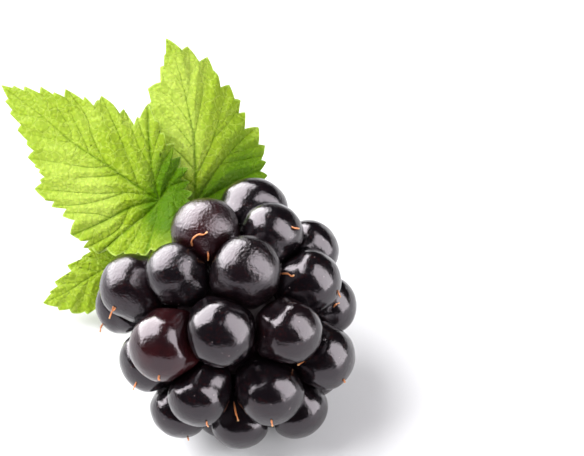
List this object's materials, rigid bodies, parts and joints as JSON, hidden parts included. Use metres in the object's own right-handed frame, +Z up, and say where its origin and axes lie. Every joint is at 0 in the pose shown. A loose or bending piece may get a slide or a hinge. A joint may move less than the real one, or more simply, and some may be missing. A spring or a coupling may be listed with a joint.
{
  "type": "bramble berry",
  "caption": "Ripe bramble berry lying on its side: glossy drupelets round a pale core, with calyx, short cut stalk and toothed leaves behind.",
  "frame": {"origin": "middle of the underside of the whole part's box, on the surface that the berry lies on", "axes": "+Z up; the berry's tip points toward -Y, partly toward +X and a little down; its stalk and leaves lie toward +Y; the leaf_left blade reaches toward -X"},
  "size_m": [0.0358, 0.0382, 0.0263],
  "materials": {
    "drupelet": "gloss",
    "core": "matte",
    "calyx": "matte",
    "stalk": "satin",
    "leaf": "satin"
  },
  "bodies": {
    "root": {"drupelet_01": "drupelet", "drupelet_02": "drupelet", "drupelet_03": "drupelet", "drupelet_04": "drupelet", "drupelet_05": "drupelet", "drupelet_06": "drupelet", "drupelet_07": "drupelet", "drupelet_08": "drupelet", "drupelet_09": "drupelet", "drupelet_10": "drupelet", "drupelet_11": "drupelet", "drupelet_12": "drupelet", "drupelet_13": "drupelet", "drupelet_14": "drupelet", "drupelet_15": "drupelet", "drupelet_16": "drupelet", "drupelet_17": "drupelet", "drupelet_18": "drupelet", "drupelet_19": "drupelet", "drupelet_20": "drupelet", "drupelet_21": "drupelet", "drupelet_22": "drupelet", "drupelet_23": "drupelet", "drupelet_24": "drupelet", "drupelet_25": "drupelet", "drupelet_26": "drupelet", "drupelet_27": "drupelet", "drupelet_28": "drupelet", "drupelet_29": "drupelet", "drupelet_30": "drupelet", "drupelet_31": "drupelet", "drupelet_32": "drupelet", "drupelet_33": "drupelet", "drupelet_34": "drupelet", "drupelet_35": "drupelet", "drupelet_36": "drupelet", "receptacle": "core", "calyx": "calyx", "fruit_stalk": "stalk", "leaf_left": "leaf", "leaf_upper": "leaf", "leaf_lower": "leaf"}
  },
  "joints": []
}
